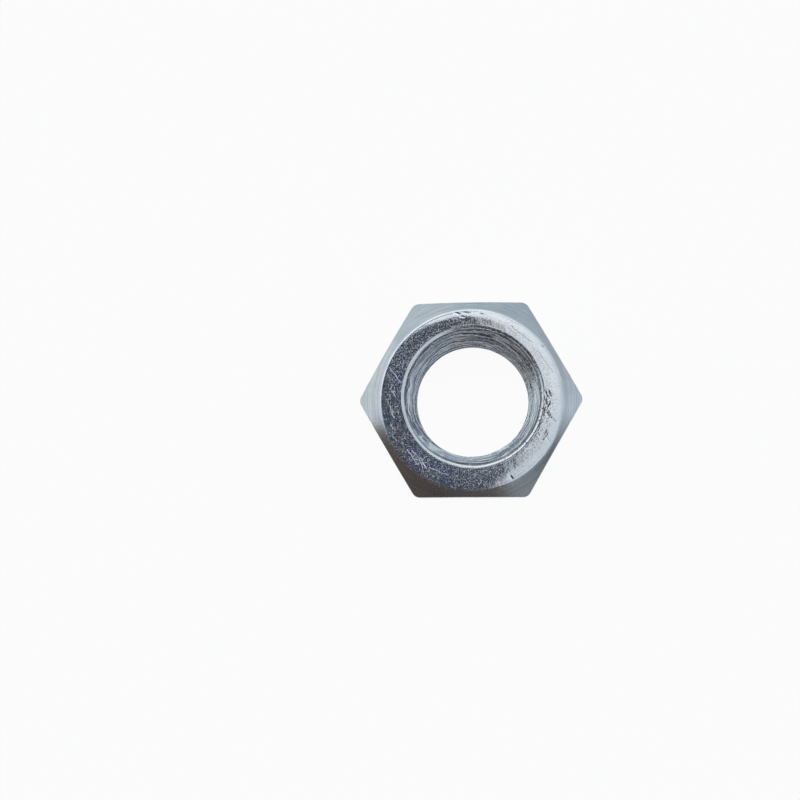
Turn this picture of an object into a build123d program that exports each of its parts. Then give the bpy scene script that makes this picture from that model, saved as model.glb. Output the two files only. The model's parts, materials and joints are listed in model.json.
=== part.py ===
from build123d import *
import os
from math import radians, sqrt, tan

# Thin hexagon nut, cold forged from steel in one piece, then tapped and zinc plated.
# It lies flat, as it would on a bench: +Z runs up the bore, the origin is the middle
# of the lower bearing face, and two of the six flats face +Y and -Y.

# Driving sizes, in millimetres and degrees
across_flats = 30.0  # spanner size, from a flat to the opposite flat
thickness = 9.7  # over the two bearing faces
corner_radius = 1.3  # round on the six upright corners of the forging
chamfer_inset = 1.15  # how far inside the flats a bearing face meets its chamfer
chamfer_angle = 30.0  # fall of the chamfer cone below the bearing face
thread_diameter = 20.0  # nominal size, across the thread roots
thread_pitch = 2.5  # coarse pitch, one turn of the thread
countersink_lead = 0.7  # how far the countersink's mouth stands outside the thread
countersink_angle = 120.0  # included angle, so its slope follows the thread flanks
arris_radius = 0.1  # soft edge between a chamfer cone and the flats
rim_radius = 0.7  # soft edge between a bearing face and its chamfer cone
lip_radius = 0.7  # soft edge between a bearing face and its countersink

# Sizes that follow
sharp_height = thread_pitch * sqrt(3) / 2  # of the 60 degree triangle behind the thread
bore_radius = thread_diameter / 2 - sharp_height * 5 / 8  # at the thread crests
countersink_radius = thread_diameter / 2 + countersink_lead
bearing_radius = across_flats / 2 - chamfer_inset
mid_height = thickness / 2
cone_slope = tan(radians(chamfer_angle))
cone_height = mid_height + bearing_radius * cone_slope  # from mid height to a cone's tip

with BuildPart() as thin_hex_nut:
    # Forged blank: a hexagon with softened corners, drawn up to the full thickness
    with BuildSketch(Plane.XY):
        RegularPolygon(radius=across_flats / 2, side_count=6, major_radius=False)
        fillet(vertices(), radius=corner_radius)
    extrude(amount=thickness)

    # Chamfer on both faces: only what lies inside two cones set base to base stays,
    # which leaves a round bearing face and a bowed arris across both ends of a flat
    with BuildSketch(Plane.XZ):
        with BuildLine():
            Polyline(
                (0, mid_height - cone_height),
                (cone_height / cone_slope, mid_height),
                (0, mid_height + cone_height),
                close=True,
            )
        make_face()
    revolve(axis=Axis.Z, mode=Mode.INTERSECT)

    # Outer edges, worn soft by forging and plating
    rims = faces().filter_by(Plane.XY).edges()
    arrises = edges() - rims - edges().filter_by(GeomType.LINE)
    fillet(arrises, radius=arris_radius)
    fillet(faces().filter_by(Plane.XY).edges(), radius=rim_radius)

    # Bore at the diameter of the thread crests, countersunk from both bearing faces
    with Locations(*faces().filter_by(Plane.XY)):
        CounterSinkHole(
            radius=bore_radius,
            counter_sink_radius=countersink_radius,
            counter_sink_angle=countersink_angle,
        )
    lips = faces().filter_by(Plane.XY).edges().group_by(SortBy.RADIUS)[0]
    fillet(lips, radius=lip_radius)

thin_hex_nut.part.label = "thin_hex_nut"
os.makedirs("parts", exist_ok=True)
export_step(thin_hex_nut.part, "parts/thin_hex_nut.step")
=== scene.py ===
import json
import math
import bmesh
import bpy
import numpy as np
from mathutils import Matrix, Quaternion, Vector


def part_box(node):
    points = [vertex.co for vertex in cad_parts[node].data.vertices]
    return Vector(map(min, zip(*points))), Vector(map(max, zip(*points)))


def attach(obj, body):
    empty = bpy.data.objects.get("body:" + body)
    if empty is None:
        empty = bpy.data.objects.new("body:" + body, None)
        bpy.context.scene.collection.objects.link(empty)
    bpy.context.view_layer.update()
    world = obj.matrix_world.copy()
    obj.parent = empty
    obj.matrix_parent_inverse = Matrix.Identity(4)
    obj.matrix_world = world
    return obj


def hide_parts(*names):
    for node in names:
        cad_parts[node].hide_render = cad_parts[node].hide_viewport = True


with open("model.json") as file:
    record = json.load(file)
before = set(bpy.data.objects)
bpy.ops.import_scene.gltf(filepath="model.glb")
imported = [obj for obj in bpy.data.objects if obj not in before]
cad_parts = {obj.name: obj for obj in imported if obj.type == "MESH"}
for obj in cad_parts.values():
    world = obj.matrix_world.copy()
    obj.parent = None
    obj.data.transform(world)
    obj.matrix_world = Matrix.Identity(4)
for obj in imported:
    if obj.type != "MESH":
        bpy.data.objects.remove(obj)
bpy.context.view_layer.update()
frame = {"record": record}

# Nut blank
# The body of the nut: steel wire cut to length, forged cold into a hexagon and pierced,
# then turned on both faces for the chamfer and the countersink. Its skin is drawn as
# columns of points round the bore, each one a section through the nut, in millimetres.
mm = 0.001
low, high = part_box("thin_hex_nut")
across_flats = (high.y - low.y) / mm
thickness = (high.z - low.z) / mm
half_height = thickness / 2
mounts = {mount["name"]: mount for mount in frame["record"]["mounts"]}
bore_radius = mounts["threaded_bore"]["dims"]["r_mm"]
thread_pitch = 2.5
thread_start = 0.575  # height of the groove's floor above the bench, on the +X side
root_radius = 10.0  # of the thread's grooves
mouth_lead = 0.7  # how far a countersink's mouth stands outside the thread
mouth_radius = root_radius + mouth_lead
chamfer_inset = 1.15  # how far inside the flats a bearing face would meet its chamfer
bearing_radius = across_flats / 2 - chamfer_inset
cone_fall = math.radians(30)  # of the chamfers and of the countersinks
corner_round = 1.3
arris_round = 0.14
rim_round = 0.8
lip_round = 1.05
bore_shift = (0.15, -0.06)  # the pierced and tapped hole stands a little off the hexagon's axis
mouth_shift = (0.41, 0.40)  # and so does the upper countersink
chamfer_shift = (0.1, -0.1)  # and the cut of the upper chamfer
face_roll = 0.045  # how far a bearing face sinks towards its rim
face_roll_width = 1.3


def column_angles(corner_steps=7, flat_steps=32):
    """Angles of the columns round the nut, closer at the corners, and where a round ends."""
    centre = (across_flats / 2 - corner_round) / math.cos(math.pi / 6)
    tangent = math.atan2(corner_round * 0.5, centre + corner_round * math.cos(math.pi / 6))
    round_part = np.linspace(0, tangent, corner_steps, endpoint=False)
    flat_part = np.linspace(tangent, math.pi / 6, flat_steps, endpoint=False)
    half = np.concatenate([round_part, flat_part])
    sector = np.concatenate([half, math.pi / 3 - np.append(half, math.pi / 6)[:0:-1]])
    return np.concatenate([sector + k * math.pi / 3 for k in range(6)]), tangent


def outline(angles, tangent):
    """Distance from the bore's axis to the outside of the hexagon, corners rounded."""
    off_corner = np.abs((angles + math.pi / 6) % (math.pi / 3) - math.pi / 6)
    centre = (across_flats / 2 - corner_round) / math.cos(math.pi / 6)
    inside = np.minimum(off_corner, tangent)
    arc = centre * np.cos(inside) + np.sqrt(corner_round**2 - (centre * np.sin(inside)) ** 2)
    flat = across_flats / 2 / np.cos(math.pi / 6 - off_corner)
    return np.where(off_corner < tangent, arc, flat)


def across(shift, around):
    """How far a small sideways shift moves the skin outwards at each angle."""
    return shift[0] * np.cos(around) + shift[1] * np.sin(around)


angles, tangent = column_angles()
columns = len(angles)
reach = outline(angles, tangent)
lip_run = lip_round * math.tan(cone_fall / 2)
rim_run = rim_round * math.tan(cone_fall / 2)
# How much of a turned finish a soft edge has, where a face has none and a cone has 1
edge_turned = 0.3
lip_turned = 0.2
lip_foot_turned = 0.6


def section(mouth_shift, chamfer_shift, face_steps, cone_steps):
    """Rows of (radius, height over mid height, turned finish) from the countersink to a flat."""
    rows = []
    mouth_offset = across(mouth_shift, angles)
    chamfer_offset = across(chamfer_shift, angles)
    for turn in np.linspace(-cone_fall, 0, 7):
        r = mouth_radius + lip_run + lip_round * math.sin(turn)
        z = half_height - lip_round * (1 - math.cos(turn))
        mark = lip_foot_turned if turn < -0.1 else lip_turned
        rows.append((r + mouth_offset, z + 0 * reach, mark))
    face_in = mouth_radius + lip_run
    face_out = bearing_radius - rim_run
    for part in np.linspace(0, 1, face_steps)[1:-1]:
        r = face_in + (face_out - face_in) * part
        r = r + mouth_offset * (1 - part) + chamfer_offset * part
        rolled = np.clip(1 - (face_out + chamfer_offset - r) / face_roll_width, 0, 1)
        rows.append((r, half_height - face_roll * rolled**2, 0.0))
    for turn in np.linspace(0, cone_fall, 6):
        r = face_out + rim_round * math.sin(turn)
        z = half_height - face_roll - rim_round * (1 - math.cos(turn))
        rows.append((r + chamfer_offset, z + 0 * reach, edge_turned))
    cone_start = face_out + rim_round * math.sin(cone_fall) + chamfer_offset
    cone_top = half_height - face_roll - rim_round * (1 - math.cos(cone_fall))
    cone_end = reach - arris_round * (1 - math.sin(cone_fall))
    for part in np.linspace(0, 1, cone_steps)[1:]:
        r = cone_start + (cone_end - cone_start) * part
        rows.append((r, cone_top - (r - cone_start) * math.tan(cone_fall), 1.0))
    arris_top = cone_top - (cone_end - cone_start) * math.tan(cone_fall)
    for turn in np.linspace(cone_fall, math.pi / 2, 5)[1:]:
        r = reach - arris_round * (1 - math.sin(turn))
        z = arris_top - arris_round * (math.cos(cone_fall) - math.cos(turn))
        rows.append((r, z, edge_turned))
    return rows


upper = section(mouth_shift, chamfer_shift, face_steps=27, cone_steps=12)
lower = section((0, 0), (0, 0), face_steps=13, cone_steps=9)
flats = []
for part in np.linspace(0, 1, 17)[1:-1]:
    flats.append((reach, upper[-1][1] * (1 - part) - lower[-1][1] * part, 0.0))
outside = upper + flats + [(r, -z, mark) for r, z, mark in reversed(lower)]

points = []
turned = []
for r, z, mark in outside:
    points.append(np.stack([r * np.cos(angles), r * np.sin(angles), z + half_height], 1))
    turned.append(np.full(columns, mark))
quads = []
for row in range(len(outside) - 1):
    here = row * columns
    below = here + columns
    for column in range(columns):
        after = (column + 1) % columns
        quads.append((here + column, here + after, below + after, below + column))

# The wall of the bore goes on from there in rows that climb with the thread, from the
# floor of one groove to the next, closer together on the floor and the crest
flank_steps = np.array([0, 0.07, 0.16, 0.25, 0.38, 0.52, 0.66, 0.78, 0.86, 0.94, 1.06])
crest_middle = [thread_pitch / 2]
thread_steps = np.concatenate([flank_steps, crest_middle, thread_pitch - flank_steps[:0:-1]])
bore_reach = half_height - lip_round * (1 - math.cos(cone_fall))
turns = math.ceil(2 * bore_reach / thread_pitch) + 2
climb = np.concatenate([thread_steps + k * thread_pitch for k in range(-turns, turns)])
around = np.append(angles, 2 * math.pi)
wall = climb[:, None] + thread_start - half_height + thread_pitch * around[None, :] / (2 * math.pi)
wall = np.clip(wall, -bore_reach, bore_reach)
used = np.flatnonzero((wall.max(1) > -bore_reach) & (wall.min(1) < bore_reach))
wall = wall[max(used[0] - 1, 0):used[-1] + 2]
inward = np.clip(bore_reach - np.abs(wall), 0, 1)  # 0 at a mouth, 1 from a millimetre in
cone_radius = mouth_radius - (half_height - np.abs(wall)) / math.tan(cone_fall)
cone_radius += np.where(wall > 0, across(mouth_shift, around)[None, :], 0)
cone_radius -= inward * across(bore_shift, around)[None, :]
radius = np.maximum(bore_radius, cone_radius)
mouth_fade = 0.3  # over how much of the countersink's width its finish begins
first = len(outside) * columns
for row in range(len(wall)):
    x = radius[row] * np.cos(around) + inward[row] * bore_shift[0]
    y = radius[row] * np.sin(around) + inward[row] * bore_shift[1]
    points.append(np.stack([x, y, wall[row] + half_height], 1))
    turned.append(np.clip((cone_radius[row] - bore_radius) / mouth_fade, 0, 1))
wide = len(around)
for row in range(len(wall) - 1):
    for column in range(wide - 1):
        corner = first + row * wide + column
        quads.append((corner, corner + wide, corner + wide + 1, corner + 1))
points = np.concatenate(points)
turned = np.concatenate(turned)
in_wall = np.arange(len(points)) >= first
tapped = np.where(in_wall, 1 - turned, 0)
mouth = np.where(in_wall, turned, 0)

# Knocks on the upper face from the tumbling barrel: each a line from one point to the
# next across the face, with its width and its depth
knocks = [
    (11.4, 0.9, 11.8, 0.1, 0.112, 0.060),
    (11.9, 1.0, 12.2, 0.3, 0.084, 0.048),
    (11.4, -0.3, 11.6, -0.9, 0.105, 0.060),
    (12.1, -0.5, 11.6, -1.4, 0.070, 0.036),
    (11.4, -2.1, 13.0, -3.7, 0.063, 0.030),
    (11.4, -2.3, 11.8, -2.1, 0.084, 0.048),
    (11.4, -5.0, 11.1, -5.6, 0.084, 0.042),
    (11.4, -5.7, 12.1, -6.7, 0.063, 0.030),
    (11.7, -5.3, 10.9, -6.3, 0.056, 0.030),
    (13.2, 4.5, 13.5, 3.6, 0.070, 0.036),
    (13.6, 3.2, 13.8, 2.6, 0.063, 0.030),
    (10.9, 8.1, 11.2, 7.8, 0.084, 0.036),
    (6.0, -11.8, 6.3, -12.1, 0.105, 0.048),
    (-2.2, 13.3, -1.5, 13.0, 0.070, 0.030),
    (-0.9, 13.3, 0.0, 13.2, 0.063, 0.024),
    (-1.3, 12.7, -0.9, 12.6, 0.070, 0.030),
    (1.6, 13.1, 2.1, 13.0, 0.056, 0.024),
]
# and three at the lower left that are clean
clean_knocks = [
    (-8.7, -9.5, -7.6, -10.0, 0.070, 0.024),
    (-7.3, -9.4, -6.6, -10.5, 0.063, 0.024),
    (-9.2, -8.2, -8.0, -8.9, 0.084, 0.018),
]


def knock_depth(x, y):
    """How deep the knocks reach below the face at a point."""
    depth = np.zeros(len(x))
    for x0, y0, x1, y1, width, deep in knocks + clean_knocks:
        along_x, along_y = x1 - x0, y1 - y0
        part = ((x - x0) * along_x + (y - y0) * along_y) / (along_x**2 + along_y**2)
        part = np.clip(part, 0, 1)
        away = np.hypot(x - x0 - part * along_x, y - y0 - part * along_y)
        depth = np.maximum(depth, deep * np.exp(-((away / width) ** 2)))
    return depth


face_zone = 0.6  # how far below the upper face the knocks are looked for
knocked = (~in_wall) & (points[:, 2] > thickness - face_zone)
points[knocked, 2] -= knock_depth(points[knocked, 0], points[knocked, 1])

mesh = bpy.data.meshes.new("nut_blank")
mesh.from_pydata((points * mm).tolist(), [], quads)
for name, values in (("turned", turned), ("tapped", tapped), ("mouth", mouth)):
    marking = mesh.attributes.new(name, "FLOAT", "POINT")
    marking.data.foreach_set("value", values.astype(np.float32))
shell = bmesh.new()
shell.from_mesh(mesh)
bmesh.ops.remove_doubles(shell, verts=shell.verts, dist=0.004 * mm)
bmesh.ops.dissolve_degenerate(shell, edges=shell.edges, dist=0.001 * mm)
bmesh.ops.holes_fill(shell, edges=shell.edges, sides=8)
bmesh.ops.recalc_face_normals(shell, faces=shell.faces)
shell.to_mesh(mesh)
shell.free()
mesh.shade_smooth()
nut = bpy.data.objects.new("threaded_nut", mesh)
bpy.context.scene.collection.objects.link(nut)


# Thread and plated skin
# A tap cuts the right-hand thread through the bore, tearing its crests a little, before
# the nut is plated. The plating gives the skin faint waves, and the flats keep the pits
# of the forging. Both only ever sink inwards.
def feed(socket, value):
    """Give an input a number, a triple, a colour or another node's output."""
    if isinstance(value, bpy.types.NodeSocket):
        socket.id_data.links.new(value, socket)
    elif socket.type == "RGBA":
        socket.default_value = (*value, 1)
    else:
        socket.default_value = value


def node_of(kind, values):
    """A new node in the tree that the values, or one of them, come from."""
    outputs = [value for value in values if isinstance(value, bpy.types.NodeSocket)]
    return outputs[0].id_data.nodes.new(kind)


def sum_of(operation, *values):
    """The output of a Math node that is fed with outputs or numbers."""
    node = node_of("ShaderNodeMath", values)
    node.operation = operation
    for socket, value in zip(node.inputs, values):
        feed(socket, value)
    return node.outputs[0]


def product_of(product, *values):
    """Outputs or numbers multiplied together."""
    for value in values:
        product = sum_of("MULTIPLY", product, value)
    return product


def apart(value, other):
    """How far two values are apart."""
    return sum_of("ABSOLUTE", sum_of("SUBTRACT", value, other))


def turn_of(x, y):
    """The bearing of a point from +X towards +Y, as a part of a full turn."""
    return sum_of("DIVIDE", sum_of("ARCTAN2", y, x), 2 * math.pi)


def noise_of(vector, scale, detail=2.0, output=0):
    """A Noise texture at a scale in features for each metre: its value, or output 1, its colour."""
    node = node_of("ShaderNodeTexNoise", [vector])
    node.inputs["Scale"].default_value = scale
    node.inputs["Detail"].default_value = detail
    feed(node.inputs["Vector"], vector)
    return node.outputs[output]


def parts_of(vector):
    """The three parts of a vector or colour."""
    node = node_of("ShaderNodeSeparateXYZ", [vector])
    feed(node.inputs[0], vector)
    return node.outputs


def joined(x, y, z):
    """A vector of three parts."""
    node = node_of("ShaderNodeCombineXYZ", [x, y, z])
    for socket, value in zip(node.inputs, (x, y, z)):
        feed(socket, value)
    return node.outputs[0]


def vector_of(operation, *values, scale=None):
    """The outputs of a Vector Math node that is fed with outputs or triples."""
    node = node_of("ShaderNodeVectorMath", [*values, scale])
    node.operation = operation
    for socket, value in zip(node.inputs, values):
        feed(socket, value)
    if scale is not None:
        feed(node.inputs["Scale"], scale)
    return node.outputs


def streaks_of(place, across_value, sway, stretch, scale, detail):
    """Streaks that run where the value across them stays the same, swaying and breaking off."""
    sway_scale = 650.0
    ridge_share = 0.09
    x, y, _ = parts_of(place)
    swayed = sum_of("MULTIPLY_ADD", noise_of(place, sway_scale, 1.0), sway * mm, across_value)
    drawn_out = joined(swayed, product_of(x, stretch), product_of(y, stretch))
    ridges = sum_of("SINE", product_of(swayed, scale * 2 * math.pi))
    return sum_of("MULTIPLY_ADD", ridges, ridge_share, noise_of(drawn_out, scale, detail))


# The tears run round the bore, half a millimetre apart or so
tear_form = {"sway": 0.9, "stretch": 0.06, "scale": 1900.0, "detail": 2.0}
tear_lean = 0.6  # how far the tears follow the height as well as the radius
cut_form = {
    "Pitch": thread_pitch,
    "Start Height": thread_start,
    "Offset X": bore_shift[0],
    "Offset Y": bore_shift[1],
    "Tearing": 0.15,
    "Tear Depth": 0.12,
    "Root Radius": root_radius,
    "Crest Softness": 0.05,
    "Wave Depth": 0.02,
    "Pit Depth": 0.05,
}
stray_scale, ragged_scale, wave_scale, pit_scale = 450.0, 800.0, 260.0, 700.0
pit_share = 0.2  # of the cells of the skin that hold a pit
side_slope = 0.4  # a flat's normal rises less than this

skin = bpy.data.node_groups.new("tap_and_skin", "GeometryNodeTree")
skin.interface.new_socket("Blank", in_out="INPUT", socket_type="NodeSocketGeometry")
for name in cut_form:
    skin.interface.new_socket(name, in_out="INPUT", socket_type="NodeSocketFloat")
skin.interface.new_socket("Nut", in_out="OUTPUT", socket_type="NodeSocketGeometry")
given = skin.nodes.new("NodeGroupInput").outputs
made = skin.nodes.new("NodeGroupOutput").inputs

# The groove: how high a point stands over its floor, and how far out the tap reaches there
place = skin.nodes.new("GeometryNodeInputPosition").outputs[0]
x, y, z = parts_of(place)
tap_x = sum_of("SUBTRACT", x, given["Offset X"])
tap_y = sum_of("SUBTRACT", y, given["Offset Y"])
radius_now = sum_of("SQRT", sum_of("ADD", product_of(tap_x, tap_x), product_of(tap_y, tap_y)))
climbed = sum_of("SUBTRACT", z, product_of(turn_of(tap_x, tap_y), given["Pitch"]))
climbed = sum_of("SUBTRACT", climbed, given["Start Height"])
torn = sum_of("SUBTRACT", noise_of(place, stray_scale), 0.5)
strayed = sum_of("MULTIPLY_ADD", torn, given["Tearing"], climbed)
from_root = sum_of("PINGPONG", strayed, product_of(given["Pitch"], 0.5))
up_flank = sum_of("SUBTRACT", from_root, sum_of("DIVIDE", given["Pitch"], 16.0))
flank = sum_of("SUBTRACT", given["Root Radius"], product_of(up_flank, math.sqrt(3)))
groove = sum_of("SMOOTH_MIN", given["Root Radius"], flank, given["Crest Softness"])
tapped_to = sum_of("SMOOTH_MAX", radius_now, groove, given["Crest Softness"])

# Where the tap has cut, or the wall is bored, the skin is torn
ragged = sum_of("SUBTRACT", noise_of(place, ragged_scale), 0.5)
ragged = product_of(ragged, given["Tearing"], 3.0)
cut_away = sum_of("ADD", sum_of("SUBTRACT", groove, radius_now), ragged)
cut_away = sum_of("DIVIDE", cut_away, product_of(given["Tearing"], 1.2))
cut_away = sum_of("MINIMUM", sum_of("MAXIMUM", cut_away, 0.0), 1.0)
bored = skin.nodes.new("GeometryNodeInputNamedAttribute")
bored.data_type = "FLOAT"
bored.inputs["Name"].default_value = "tapped"
in_thread = sum_of("MAXIMUM", cut_away, bored.outputs[0])
tears = streaks_of(place, sum_of("MULTIPLY_ADD", z, tear_lean, tapped_to), **tear_form)
torn_out = product_of(tears, given["Tear Depth"], in_thread)
tapped_to = sum_of("ADD", tapped_to, torn_out)
widen = sum_of("DIVIDE", tapped_to, radius_now)
moved = joined(
    sum_of("MULTIPLY_ADD", tap_x, widen, given["Offset X"]),
    sum_of("MULTIPLY_ADD", tap_y, widen, given["Offset Y"]),
    z,
)
marked = skin.nodes.new("GeometryNodeStoreNamedAttribute")
marked.data_type = "FLOAT"
marked.inputs["Name"].default_value = "tapped"
feed(marked.inputs["Geometry"], given["Blank"])
feed(marked.inputs["Value"], in_thread)
tap = skin.nodes.new("GeometryNodeSetPosition")
feed(tap.inputs["Geometry"], marked.outputs[0])
feed(tap.inputs["Position"], moved)

# Waves all over, and pits on the flats
normal = skin.nodes.new("GeometryNodeInputNormal").outputs[0]
upright = sum_of("LESS_THAN", sum_of("ABSOLUTE", parts_of(normal)[2]), side_slope)
cells = skin.nodes.new("ShaderNodeTexVoronoi")
cells.inputs["Scale"].default_value = pit_scale
feed(cells.inputs["Vector"], place)
pit_here = sum_of("GREATER_THAN", parts_of(cells.outputs["Color"])[0], 1 - pit_share)
pit_bowl = sum_of("SUBTRACT", 1.0, product_of(cells.outputs["Distance"], 3.0))
pit_bowl = sum_of("MAXIMUM", pit_bowl, 0.0)
pits = product_of(pit_here, pit_bowl, given["Pit Depth"], upright)
waves = product_of(noise_of(place, wave_scale), given["Wave Depth"])
sink = product_of(sum_of("ADD", waves, pits), -1.0)
relief = skin.nodes.new("GeometryNodeSetPosition")
feed(relief.inputs["Geometry"], tap.outputs[0])
feed(relief.inputs["Offset"], vector_of("SCALE", normal, scale=sink)[0])
realize = skin.nodes.new("GeometryNodeRealizeInstances")
feed(realize.inputs[0], relief.outputs[0])
plate = skin.nodes.new("GeometryNodeSetMaterial")
feed(plate.inputs["Geometry"], realize.outputs[0])
feed(made[0], plate.outputs[0])

zinc = bpy.data.materials.new("blue_zinc_plate")
plate.inputs["Material"].default_value = zinc
tapping = nut.modifiers.new("tap_and_skin", "NODES")
tapping.node_group = skin
for item in skin.interface.items_tree:
    if item.name in cut_form:
        tapping[item.identifier] = cut_form[item.name] * mm
bpy.context.view_layer.update()
evaluated = nut.evaluated_get(bpy.context.evaluated_depsgraph_get())
finished = bpy.data.meshes.new_from_object(evaluated)
nut.modifiers.clear()
nut.data = finished

zinc.use_nodes = True
tree = zinc.node_tree
shader = tree.nodes["Principled BSDF"]
on_nut = tree.nodes.new("ShaderNodeTexCoord").outputs["Object"]


def painted(name):
    """A value that the mesh carries at its points."""
    node = tree.nodes.new("ShaderNodeAttribute")
    node.attribute_name = name
    return node.outputs["Fac"]


def faded(value, start, end, low=0.0, high=1.0, curve="LINEAR"):
    """A value mapped from start..end to low..high and held outside it."""
    node = node_of("ShaderNodeMapRange", [value])
    node.interpolation_type = curve
    limits = {"From Min": start, "From Max": end, "To Min": low, "To Max": high}
    for name, limit in limits.items():
        feed(node.inputs[name], limit)
    feed(node.inputs["Value"], value)
    return node.outputs[0]


def tinted(factor, under, over):
    """under where the factor is 0 and over where it is 1; each a colour or an output."""
    node = node_of("ShaderNodeMix", [factor])
    node.data_type = "RGBA"
    feed(node.inputs["Factor"], factor)
    feed(node.inputs[6], under)
    feed(node.inputs[7], over)
    return node.outputs[2]


def rest_of(value):
    """What a value leaves of 1."""
    return sum_of("SUBTRACT", 1.0, value)


def levelled(factor, under, over):
    """A number between two, by a factor."""
    return sum_of("MULTIPLY_ADD", factor, over, product_of(rest_of(factor), under))


def from_axis(place, shift):
    """How far a place is from an upright axis that stands a shift in mm off the middle."""
    level = vector_of("MULTIPLY", place, (1, 1, 0))[0]
    return vector_of("DISTANCE", level, (shift[0] * mm, shift[1] * mm, 0))["Value"]


# The knocks and scratches waver a little
waver_width = 0.5 * mm
wavering = noise_of(on_nut, 1500.0, output=1)
wavering = vector_of("SUBTRACT", wavering, (0.5, 0.5, 0.5))[0]
wavering = vector_of("MULTIPLY_ADD", wavering, (waver_width, waver_width, 0), on_nut)[0]


def near_lines(lines, width):
    """1 on the nearest of some lines across the upper face, 0 past their width, both in mm."""
    nearest = None
    for x0, y0, x1, y1 in lines:
        start = Vector((x0, y0, thickness)) * mm
        along = Vector((x1 - x0, y1 - y0, 0)) * mm
        from_start = vector_of("SUBTRACT", wavering, tuple(start))[0]
        direction = tuple(along / along.length_squared)
        part = vector_of("DOT_PRODUCT", from_start, direction)["Value"]
        part = sum_of("MINIMUM", sum_of("MAXIMUM", part, 0.0), 1.0)
        step = vector_of("SCALE", tuple(along), scale=part)[0]
        beside = vector_of("DISTANCE", from_start, step)["Value"]
        nearest = beside if nearest is None else sum_of("MINIMUM", nearest, beside)
    return faded(nearest, 0.0, width * mm, 1.0, 0.0)


def curls_of(scale, narrowness):
    """Thin curling ridges, as crystals leave them in the plating: 1 along a ridge, 0 beside it."""
    off_middle = apart(noise_of(on_nut, scale, 1.0), 0.5)
    return rest_of(sum_of("MINIMUM", product_of(off_middle, narrowness), 1.0))


# What lies where: the turned cones, the thread, the countersinks, the crystals and streaks
cut = painted("turned")
thread = painted("tapped")
in_mouth = product_of(painted("mouth"), rest_of(thread))
in_bore = sum_of("MAXIMUM", thread, in_mouth)
on_cone = product_of(cut, rest_of(in_bore))
plain = rest_of(sum_of("MAXIMUM", cut, thread))
sx, sy, sz = parts_of(on_nut)
on_top = faded(sz, (thickness - 0.3) * mm, (thickness - 0.2) * mm)
left = faded(sx, 4 * mm, -5 * mm)
near_side = faded(sy, 2 * mm, -4 * mm)
near_right = product_of(near_side, faded(sx, 1 * mm, 5 * mm))
rounds = turn_of(sx, sy)
off_axis = from_axis(on_nut, (0, 0))

grain = noise_of(on_nut, 3000.0, 3.0)
patches = noise_of(on_nut, 330.0, 3.0)
breaks = faded(noise_of(on_nut, 3600.0, 1.0), 0.44, 0.54)
crowding = faded(noise_of(on_nut, 600.0, 2.0), 0.36, 0.56, 0.45, 1.0)
coarse_curls = product_of(curls_of(1900.0, 42.0), breaks)
fine_curls = curls_of(3200.0, 54.0)
curls = product_of(sum_of("MAXIMUM", coarse_curls, fine_curls), crowding)
rings = streaks_of(on_nut, off_axis, sway=0.08, stretch=0.05, scale=3600.0, detail=3.0)
tears = streaks_of(on_nut, sum_of("MULTIPLY_ADD", sz, tear_lean, off_axis), **tear_form)
# The tearing is worst within 2.2 mm of the upper face and mostly gone at 3.6 mm
near_mouth = faded(sz, (thickness - 3.6) * mm, (thickness - 2.2) * mm, 0.25, 1.0)
torn_line = product_of(faded(apart(tears, 0.5), 0.015, 0.075, 1.0, 0.0), near_mouth)
# A raised burr where the thread meets the countersink; its pale colour is a painted highlight along
# that edge
edge_ridge_and_highlight = faded(apart(thread, 0.5), 0.15, 0.5, 1.0, 0.0)

hairline_width = 0.08
hairlines = near_lines(
    (
        (-12.6, -0.1, -11.6, -2.8),
        (-13.5, -2.3, -11.5, -4.6),
        (-12.9, -4.4, -11.3, -6.3),
        (-12.2, 1.7, -11.4, 0.4),
        (-9.6, -7.6, -8.2, -9.7),
        (-8.7, -9.9, -6.6, -9.6),
        (-7.9, -8.6, -7.2, -10.9),
        (-9.4, -8.9, -7.3, -9.3),
        (-8.9, -7.8, -7.6, -9.0),
        (-8.1, -9.8, -6.9, -8.8),
        (-6.2, -10.4, -3.4, -11.6),
        (-12.4, 5.1, -10.5, 2.6),
        (10.2, 7.4, 12.7, 3.9),
        (6.3, 11.1, 9.3, 8.7),
    ),
    hairline_width,
)
streak_width = 0.9
streaks = near_lines(
    (
        (-12.5, 5.0, -10.6, 2.6),
        (-10.9, 7.6, -9.9, 6.7),
        (-6.7, -9.7, -2.6, -11.3),
        (-9.0, -6.9, -7.9, -8.4),
        (-9.6, -9.2, -8.4, -10.6),
    ),
    streak_width,
)
flecks = product_of(curls, levelled(on_cone, 1.0, 0.2))
flecks = sum_of("MAXIMUM", flecks, product_of(hairlines, breaks))

# Where the countersinking tool ran out, it left a broken dark groove just outside the lip,
# from the +X side round towards -Y, with specks outside it
groove_radius = mouth_radius + 0.47
speckled_width = 2.0 * mm
off_groove = sum_of("SUBTRACT", from_axis(wavering, mouth_shift), groove_radius * mm)
groove_line = product_of(
    faded(sum_of("ABSOLUTE", off_groove), 0.03 * mm, 0.13 * mm, 1.0, 0.0),
    faded(rounds, -0.15, -0.07),
    faded(noise_of(on_nut, 1500.0), 0.38, 0.46),
)
specks = product_of(
    faded(off_groove, 0.1 * mm, speckled_width, 1.0, 0.0),
    faded(rounds, -0.20, -0.13),
    faded(noise_of(on_nut, 4200.0), 0.56, 0.68),
)
groove_end = faded(rounds, -0.005, 0.025, 1.0, 0.0)
groove_line = product_of(sum_of("MAXIMUM", groove_line, specks), groove_end)
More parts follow.
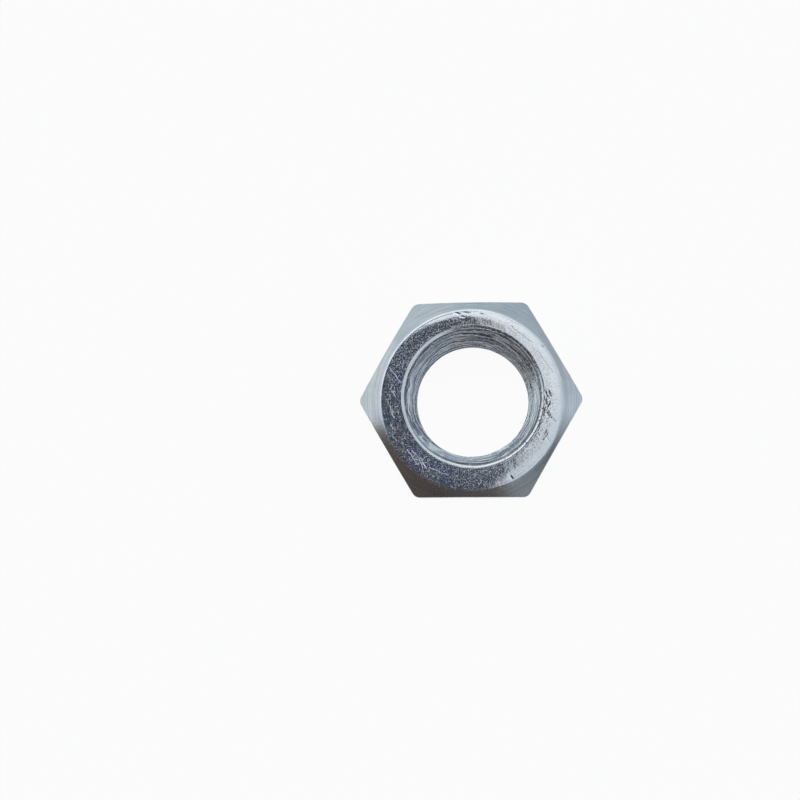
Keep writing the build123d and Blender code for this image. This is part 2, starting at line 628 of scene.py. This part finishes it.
# Near-black goes in it and in most knocks as dark marks, and along the corner between the lip and
# the countersink as a painted shade line
score_width = 0.085
scores = near_lines([knock[:4] for knock in knocks], score_width)
scores = product_of(scores, faded(noise_of(on_nut, 3500.0), 0.42, 0.54))
marks_and_shade = product_of(sum_of("MAXIMUM", groove_line, scores), on_top)
lip_foot = thickness - lip_round * (1 - math.cos(cone_fall)) - 0.07
# Painted shade line in the corner at the foot of the lip
foot_shade = faded(apart(sz, lip_foot * mm), 0.03 * mm, 0.13 * mm, 0.6, 0.0)
marks_and_shade = sum_of("MAXIMUM", marks_and_shade, product_of(foot_shade, painted("mouth")))

# The fine relief, in hundredths of a millimetre
face_height = sum_of("MULTIPLY_ADD", curls, 0.12, product_of(grain, 0.25))
face_height = sum_of("MULTIPLY_ADD", hairlines, -0.6, face_height)
cut_height = sum_of("MULTIPLY_ADD", rings, 2.0, product_of(grain, 1.2))
thread_height = sum_of("MULTIPLY_ADD", grain, 5.0, product_of(tears, 9.0, near_mouth))
thread_height = sum_of("MULTIPLY_ADD", torn_line, 3.0, thread_height)
height = levelled(cut, face_height, cut_height)
height = levelled(in_bore, height, thread_height)
height = sum_of("MULTIPLY_ADD", edge_ridge_and_highlight, 6.0, height)
bump = tree.nodes.new("ShaderNodeBump")
bump.inputs["Strength"].default_value = 1.0
bump.inputs["Distance"].default_value = 0.01 * mm
feed(bump.inputs["Height"], height)
feed(shader.inputs["Normal"], bump.outputs[0])

# The film of zinc on the faces and cones: clear, with blue patches and streaks
clear_film, patch_film, streak_film = (0.70, 0.75, 0.79), (0.50, 0.60, 0.86), (0.50, 0.56, 0.84)
ring_film, stained_film = (0.56, 0.60, 0.63), (0.46, 0.51, 0.55)
blue = product_of(faded(patches, 0.44, 0.68, 0.0, 0.6), left, plain, levelled(on_top, 0.3, 1.0))
film = tinted(blue, clear_film, patch_film)
film = tinted(product_of(streaks, 0.7), film, streak_film)
film = tinted(product_of(cut, faded(rings, 0.42, 0.65)), film, ring_film)
film = tinted(product_of(cut, faded(patches, 0.42, 0.68, 0.0, 0.35)), film, stained_film)

# The film in the bore: dark and light by the tears, with painted shade making it darker and bluer
# on the left and painted light making it paler on the near side
shades = levelled(near_mouth, 0.7, faded(tears, 0.42, 0.54))
# Painted shade: the countersink darker on the left
mouth_light = tinted(left, (0.42, 0.50, 0.57), (0.37, 0.44, 0.52))
mouth_film = tinted(shades, (0.20, 0.25, 0.32), mouth_light)
# Painted light: the thread paler on the near side
right_dark = tinted(near_side, (0.23, 0.29, 0.37), (0.44, 0.52, 0.60))
right_light = tinted(near_side, (0.62, 0.72, 0.80), (0.76, 0.85, 0.92))
# Painted shade: the thread darker and bluer on the left
thread_dark = tinted(left, right_dark, (0.14, 0.18, 0.26))
thread_light = tinted(left, right_light, (0.37, 0.45, 0.55))
thread_film = tinted(shades, thread_dark, thread_light)
bore_film = tinted(torn_line, tinted(thread, mouth_film, thread_film), (0.88, 0.91, 0.93))
# A painted dark reflection along the crests of the thread, weaker on the near right
crest_start, crest_end = (bore_radius + 0.04) * mm, (bore_radius + 0.24) * mm
crest = faded(from_axis(on_nut, bore_shift), crest_start, crest_end, 0.7, 0.0)
crest = product_of(crest, levelled(near_right, 1.0, 0.2))
bore_film = tinted(crest, bore_film, (0.15, 0.19, 0.25))
film = tinted(in_bore, film, bore_film)

# Over both lie the burrs with their painted highlight, the pale flecks, and the dark marks with the
# painted shade line
edge_highlight_film, marks_and_shade_film = (0.86, 0.90, 0.93), (0.06, 0.052, 0.047)
streaked = product_of(streaks, plain)
fleck_film = tinted(streaked, (0.93, 0.95, 0.97), (0.72, 0.79, 0.98))
# Painted highlight along the burr
film = tinted(edge_ridge_and_highlight, film, edge_highlight_film)
film = tinted(product_of(flecks, 0.95), film, fleck_film)
# Dark marks, and the painted shade line at the lip's foot
film = tinted(marks_and_shade, film, marks_and_shade_film)
feed(shader.inputs["Base Color"], film)

rough = faded(patches, 0.3, 0.7, 0.03, 0.07)
for where, rougher in (
    (cut, 0.15),
    (in_mouth, -0.05),
    (thread, 0.2),
    (flecks, 0.5),
    (marks_and_shade, 0.3),
    (streaked, 0.04),
):
    rough = sum_of("MULTIPLY_ADD", where, rougher, rough)
feed(shader.inputs["Roughness"], rough)
bore_dull = product_of(in_bore, sum_of("MAXIMUM", curls, torn_line), 0.45)
dull = sum_of("MAXIMUM", bore_dull, product_of(flecks, plain))
feed(shader.inputs["Metallic"], rest_of(dull))

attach(nut, "root")
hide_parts("thin_hex_nut")

# Bench and studio
# A matt white bench, and a plain studio round it: pale walls, dark ones on the near side,
# a soft white ceiling, and a small dark card high over the nut, where the camera stands.
floor_mesh = bpy.data.meshes.new("bench")
floor_mesh.from_pydata([(-2, -2, 0), (2, -2, 0), (2, 2, 0), (-2, 2, 0)], [], [(0, 1, 2, 3)])
bench = bpy.data.objects.new("bench", floor_mesh)
bpy.context.scene.collection.objects.link(bench)
white = bpy.data.materials.new("white_bench")
white.use_nodes = True
paint = white.node_tree
matt = paint.nodes["Principled BSDF"]
matt.inputs["Base Color"].default_value = (0.92, 0.92, 0.92, 1)
matt.inputs["Roughness"].default_value = 0.9
lit = paint.nodes.new("ShaderNodeEmission")
lit.inputs["Strength"].default_value = 1.0
lit_share = 0.94  # of what is seen of the bench; the rest is the matt white with its shadow
ray = paint.nodes.new("ShaderNodeLightPath").outputs
seen_ray = sum_of("MAXIMUM", ray["Is Camera Ray"], ray["Is Glossy Ray"])
seen_ray = sum_of("MAXIMUM", seen_ray, ray["Is Transmission Ray"])
over = paint.nodes.new("ShaderNodeMixShader")
feed(over.inputs[0], product_of(seen_ray, lit_share))
feed(over.inputs[1], matt.outputs[0])
feed(over.inputs[2], lit.outputs[0])
feed(paint.nodes["Material Output"].inputs[0], over.outputs[0])
floor_mesh.materials.append(white)

studio = bpy.data.worlds.new("studio")
studio.use_nodes = True
bpy.context.scene.world = studio
sky = studio.node_tree


def band(value, start, end):
    """0 before start, 1 past end and smooth between them."""
    return faded(value, start, end, curve="SMOOTHSTEP")


seen = sky.nodes.new("ShaderNodeTexCoord")
east, north, up = parts_of(seen.outputs["Generated"])
walls = sky.nodes.new("ShaderNodeValToRGB")
feed(walls.inputs[0], sum_of("ADD", turn_of(east, north), 0.5))
# bearing in degrees from +X towards +Y, colour, and how high the wall reaches
wall_colours = (
    (-180, (0.90, 0.94, 0.96), 0.62),
    (-175, (0.90, 0.94, 0.96), 0.62),
    (-167, (0.125, 0.098, 0.088), 0.90),
    (-140, (0.112, 0.082, 0.072), 0.91),
    (-110, (0.085, 0.071, 0.067), 0.93),
    (-74, (0.12, 0.10, 0.09), 0.90),
    (-63, (0.30, 0.32, 0.34), 0.70),
    (-28, (0.13, 0.15, 0.165), 0.62),
    (0, (0.62, 0.69, 0.76), 0.62),
    (30, (0.49, 0.54, 0.58), 0.62),
    (60, (0.46, 0.53, 0.59), 0.62),
    (120, (0.64, 0.70, 0.73), 0.62),
    (160, (0.74, 0.78, 0.80), 0.62),
)
ramp = walls.color_ramp
while len(ramp.elements) < len(wall_colours):
    ramp.elements.new(0.5)
for element, (bearing, colour, tall) in zip(ramp.elements, wall_colours):
    element.position = bearing / 360 + 0.5
    element.color = (*colour, tall)
wall_top = walls.outputs["Alpha"]
ceiling = band(up, wall_top, sum_of("ADD", wall_top, 0.1))
# Places on the ceiling, as eastings and northings for each metre above the nut
steep = sum_of("MAXIMUM", up, 0.05)
card_x = sum_of("DIVIDE", east, steep)
card_y = sum_of("DIVIDE", north, steep)
lamp = tinted(band(card_y, 0.1, 0.35), (0.95, 0.96, 0.98), (1.2, 1.2, 1.2))
lamp = tinted(band(card_x, 0.03, 0.25), lamp, (0.76, 0.79, 0.83))
lamp = tinted(band(card_y, 0.02, 0.08), (0.76, 0.80, 0.85), lamp)
room = tinted(ceiling, walls.outputs[0], lamp)
# The card's four edges: right, left, far and near, the first three slanting
card = product_of(
    rest_of(band(sum_of("MULTIPLY_ADD", card_y, 0.16, card_x), -0.011, 0.004)),
    band(sum_of("MULTIPLY_ADD", card_y, -0.6, card_x), -0.42, -0.36),
    rest_of(band(sum_of("MULTIPLY_ADD", card_x, 0.3, card_y), 0.162, 0.184)),
    band(card_y, -0.36, -0.30),
)
room = tinted(card, room, (0.050, 0.060, 0.084))
light_path = sky.nodes.new("ShaderNodeLightPath")
room = tinted(light_path.outputs["Is Camera Ray"], room, (1.0, 1.0, 1.0))
feed(sky.nodes["Background"].inputs["Color"], room)

# Camera
# It stands nearly over the nut, a little to the right and to the near side of the bore.
picture = 800
sensor_width = 36
lens_pixels = 1572
pixels_per_mm = 6.551
face_pixel = (470.3, 399.8)  # where the middle of the upper face lies in the picture
stand_off = 240 * mm
lean_x = math.radians(2.2)
lean_y = math.radians(-4.3)
roll = math.radians(-0.25)
face_middle = Vector((0, 0, thickness * mm))
aim_offset = Vector((picture / 2 - face_pixel[0], face_pixel[1] - picture / 2, 0))
aim_offset *= mm / pixels_per_mm
camera_data = bpy.data.cameras.new("camera")
camera_data.sensor_width = sensor_width
camera_data.lens = sensor_width * lens_pixels / picture
camera_data.clip_start = 0.01
camera = bpy.data.objects.new("camera", camera_data)
bpy.context.scene.collection.objects.link(camera)
lean = Vector((math.sin(lean_x), math.sin(lean_y), 1)).normalized()
camera.location = face_middle + stand_off * lean
look = (face_middle + aim_offset - camera.location).normalized()
across_view = look.cross(Vector((0, 1, 0))).normalized()
facing = Matrix((across_view, across_view.cross(look), -look)).transposed().to_quaternion()
camera.rotation_mode = "QUATERNION"
camera.rotation_quaternion = facing @ Quaternion((0, 0, 1), roll)
bpy.context.scene.camera = camera
bpy.context.scene.view_settings.view_transform = "Standard"
